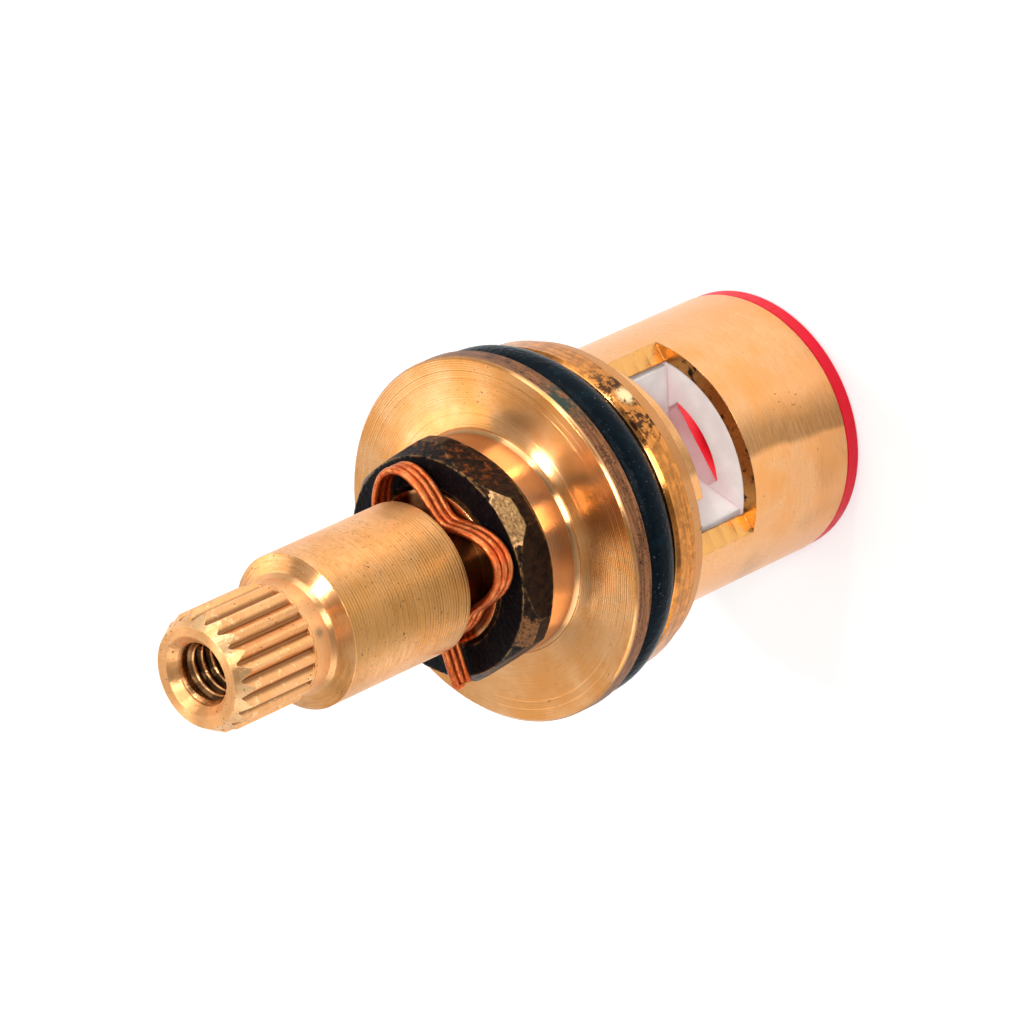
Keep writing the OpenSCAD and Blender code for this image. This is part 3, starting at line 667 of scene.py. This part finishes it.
def new_piece(name, mesh, body, material, smooth):
    """Object made from a bmesh and riding on a body."""
    bmesh.ops.recalc_face_normals(mesh, faces=mesh.faces)
    data = bpy.data.meshes.new(name)
    mesh.to_mesh(data)
    mesh.free()
    for face in data.polygons:
        face.use_smooth = smooth
    data.materials.append(material)
    obj = bpy.data.objects.new(name, data)
    bpy.context.scene.collection.objects.link(obj)
    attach(obj, body)
    return obj


def skin(mesh, rings):
    """Closed skin over rings of vertices, with a cap at each end."""
    count = len(rings[0])
    for low, high in zip(rings, rings[1:]):
        for k in range(count):
            mesh.faces.new((low[k], low[k - 1], high[k - 1], high[k]))
    mesh.faces.new(rings[0])
    mesh.faces.new(rings[-1][::-1])


# The wire clip follows the same route as its solid, with a rounder section.
# One wire is folded into three strands. Lengths are in millimetres and angles in degrees.
clip_wire_r = 0.26
clip_wire_sides = 16
clip_strands = 3
clip_pitch = 0.57
clip_foot_z = hex_face_z + 0.31
clip_trough_r = 4.41
clip_crest_r = 6.95
clip_leg_r = 7.45
clip_end_len = 0.27
clip_bend_r = 0.6
clip_middle = 299
clip_lobe = 90
clip_reach = 134
clip_first = clip_middle - clip_reach
clip_last = clip_middle + clip_reach
clip_bend_turns = range(9, 82, 9)
clip_fold_turns = range(-75, 76, 15)


def clip_radius(angle):
    """Distance of the wire's centre from the axis: one swing out and in for each lobe."""
    share = max(-1.0, min(1.0, (angle - clip_middle) / clip_lobe))
    swing = (1 + math.cos(2 * math.pi * share + math.pi)) / 2
    return clip_trough_r + (clip_crest_r - clip_trough_r) * swing


def clip_leg(angle, side):
    """Level points of a leg, from its end in to the groove."""
    steps = 8
    start_r = clip_trough_r + clip_bend_r
    points = [(clip_leg_r + (start_r - clip_leg_r) * i / steps, 0.0) for i in range(steps + 1)]
    for turn in clip_bend_turns:
        bend = math.radians(turn)
        points.append((start_r - clip_bend_r * math.sin(bend), side * clip_bend_r * (1 - math.cos(bend))))
    return [polar(along, angle) + polar(across, angle + 90) for along, across in points]


def clip_strand():
    """Level points of one strand: a leg, the way round the groove and the other leg."""
    steps = 110
    foot_share = 1.4
    foot = foot_share * math.degrees(math.atan(clip_bend_r / clip_trough_r))
    start = clip_first + foot
    end = clip_last - foot
    angles = [start + (end - start) * i / steps for i in range(steps + 1)]
    groove = [polar(clip_radius(angle), angle) for angle in angles]
    return clip_leg(clip_first, 1) + groove + clip_leg(clip_last, -1)[::-1]


def clip_fold(angle, level):
    """Half round bend at a leg's end that leads up to the next strand."""
    middle_z = clip_foot_z + (level + 0.5) * clip_pitch
    half = clip_pitch / 2
    points = []
    for degrees in clip_fold_turns:
        turn = math.radians(degrees)
        points.append(polar(clip_leg_r + half * math.cos(turn), angle, middle_z + half * math.sin(turn)))
    return points


def clip_route():
    """Points along the wire, and the level direction across it at each of them."""
    strand = clip_strand()
    runs = [strand[min(i + 1, len(strand) - 1)] - strand[max(i - 1, 0)] for i in range(len(strand))]
    sides = [Vector((run.y, -run.x, 0)).normalized() for run in runs]
    lifts = [Vector((0, 0, clip_foot_z + level * clip_pitch)) for level in range(clip_strands)]
    levels = [[point + lift for point in strand] for lift in lifts]
    fold_up = clip_fold(clip_last, 0)
    fold_back = clip_fold(clip_first, 1)
    free_first = polar(clip_leg_r + clip_end_len, clip_first, clip_foot_z)
    free_last = polar(clip_leg_r + clip_end_len, clip_last, clip_foot_z + 2 * clip_pitch)
    points = [free_first, *levels[0], *fold_up, *levels[1][::-1], *fold_back, *levels[2], free_last]
    up_sides = [sides[-1]] * len(fold_up)
    back_sides = [sides[0]] * len(fold_back)
    across = [sides[0], *sides, *up_sides, *sides[::-1], *back_sides, *sides, sides[-1]]
    return points, across


def wire_clip():
    points, sides = clip_route()
    turns = [2 * math.pi * k / clip_wire_sides for k in range(clip_wire_sides)]
    mesh = bmesh.new()
    rings = []
    for i, (point, side) in enumerate(zip(points, sides)):
        run = points[min(i + 1, len(points) - 1)] - points[max(i - 1, 0)]
        rise = side.cross(run.normalized())
        ring = [point + clip_wire_r * (math.cos(turn) * side + math.sin(turn) * rise) for turn in turns]
        rings.append([mesh.verts.new(place * MM) for place in ring])
    skin(mesh, rings)
    clip = new_piece("wire_clip", mesh, "spindle", copper, True)
    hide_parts("retaining_clip")


def screw_thread():
    """Helical ridge in the handle screw's hole, with a trapezoid section that tapers out at both ends."""
    pitch = 0.8
    height = 0.32
    sunk = 0.02
    root_half = 0.36
    crest_half = 0.07
    taper_rate = 1.5
    turns = 14
    steps = 48
    lead_in = 0.75
    start_z = tip_z - lead_in
    root_r = hole_r + sunk
    mesh = bmesh.new()
    rings = []
    for i in range(turns * steps + 1):
        taper = min(1.0, i / steps * taper_rate, (turns * steps - i) / steps * taper_rate)
        crest_r = hole_r - max(sunk, height * taper)
        z = start_z - pitch * i / steps
        section = [(root_r, root_half), (crest_r, crest_half), (crest_r, -crest_half), (root_r, -root_half)]
        rings.append([mesh.verts.new(polar(r, 360 * i / steps, z + rise) * MM) for r, rise in section])
    skin(mesh, rings)
    new_piece("screw_thread", mesh, "spindle", brass_spindle, False)


wire_clip()
screw_thread()

# Soft boxes round the part: name, direction from its middle, distance and width in metres, brightness
PART_MIDDLE = Vector((0, 0, 0.028))
SOFT_BOXES = (
    ("key_box", (-0.046, -0.734, 0.677), 0.5, 0.16, 13.0),
    ("junction_box", (0.303, 0.028, 0.953), 0.5, 0.06, 88.0),
    ("glint_box", (0.637, -0.586, 0.5), 0.5, 0.04, 60.0),
    ("warm_box", (0.066, 0.504, 0.861), 0.5, 0.03, 12.0),
    ("top_box", (-0.13, 0.465, 0.875), 0.5, 0.12, 2.2),
    ("back_box", (0.45, 0.68, 0.58), 0.5, 0.28, 1.5),
    ("side_box", (0.80, -0.40, 0.45), 0.6, 0.36, 2.2),
    ("left_box", (-0.85, 0.10, 0.50), 0.6, 0.36, 1.4),
    ("inlet_box", (0, 0, -1), 0.0277, 0.008, 2.0),
)


def add_floor():
    """Pale plain floor that reads white and still shows the object's shadow."""
    half = 2.5
    glow_level = 0.42
    corners = [(-half, -half, 0), (half, -half, 0), (half, half, 0), (-half, half, 0)]
    data = bpy.data.meshes.new("floor")
    data.from_pydata(corners, [], [(0, 1, 2, 3)])
    floor = bpy.data.objects.new("floor", data)
    bpy.context.scene.collection.objects.link(floor)
    material = bpy.data.materials.new("pale_floor")
    n = Nodes(material)
    path = n.add("ShaderNodeLightPath").outputs
    seen = n.math("MAXIMUM", path["Is Camera Ray"], path["Is Glossy Ray"])
    seen = n.math("MAXIMUM", seen, path["Is Transmission Ray"])
    n.shader("ShaderNodeBsdfPrincipled", "ShaderNodeOutputMaterial", {
        "Base Color": FLOOR_GREY,
        "Roughness": 0.9,
        "Emission Color": WHITE,
        "Emission Strength": n.math("MULTIPLY", seen, glow_level),
    })
    data.materials.append(material)


def add_light(name, towards, distance, size, level):
    """Square soft box that faces the middle of the part. Level is how bright its face looks, 1 for white."""
    data = bpy.data.lights.new(name, "AREA")
    data.shape = "SQUARE"
    data.size = size
    data.energy = level * math.pi * size * size
    light = bpy.data.objects.new(name, data)
    direction = Vector(towards).normalized()
    light.location = PART_MIDDLE + direction * distance
    light.rotation_mode = "QUATERNION"
    light.rotation_quaternion = direction.to_track_quat("Z", "Y")
    bpy.context.scene.collection.objects.link(light)


def add_world():
    """Soft grey room: pale round the horizon, dimmer overhead, with a bright far wall.

    A strip overhead and part of the near side are dark, and both show as dark bands in the metal.
    """
    horizon = 0.9
    overhead = 0.62
    wall = 0.95
    dark = 0.06
    world = bpy.data.worlds.new("studio")
    bpy.context.scene.world = world
    n = Nodes(world)
    x, y, z = n.split(n.add("ShaderNodeTexCoord").outputs["Generated"])
    sky = n.ramp(z, 0.1, 0.7, horizon, overhead)
    above = n.ramp(z, 0.06, 0.16)
    strip = n.both(n.band(x, -0.01, 0.09, soft=0.04), n.ramp(y, 0.58, 0.70, 1.0, 0.0), above)
    front = n.both(n.ramp(y, -0.75, -0.5, 1.0, 0.0), n.ramp(x, 0.15, 0.45, 1.0, 0.0), above)
    far_wall = n.both(n.ramp(y, 0.55, 0.75), above)
    sky = n.blend(far_wall, sky, wall)
    level = n.blend(n.math("MAXIMUM", strip, front), sky, dark)
    n.shader("ShaderNodeBackground", "ShaderNodeOutputWorld", {"Strength": level})


def add_camera():
    """Long lens at the photograph's angle. Its place is in metres, lens and sensor in millimetres."""
    place = Vector((-0.01840, -0.31116, 0.31077))
    right = Vector((-0.4545, -0.5884, -0.6688))
    up = Vector((0.8897, -0.3386, -0.3064))
    data = bpy.data.cameras.new("camera")
    data.lens = 229.18
    data.sensor_width = 36
    data.clip_start = 0.05
    data.clip_end = 10
    camera = bpy.data.objects.new("camera", data)
    turn = Matrix((right, up, right.cross(up))).transposed()
    camera.matrix_world = Matrix.Translation(place) @ turn.to_4x4()
    bpy.context.scene.collection.objects.link(camera)
    bpy.context.scene.camera = camera


add_floor()
add_world()
for soft_box in SOFT_BOXES:
    add_light(*soft_box)
add_camera()
bpy.context.scene.view_settings.view_transform = "Standard"
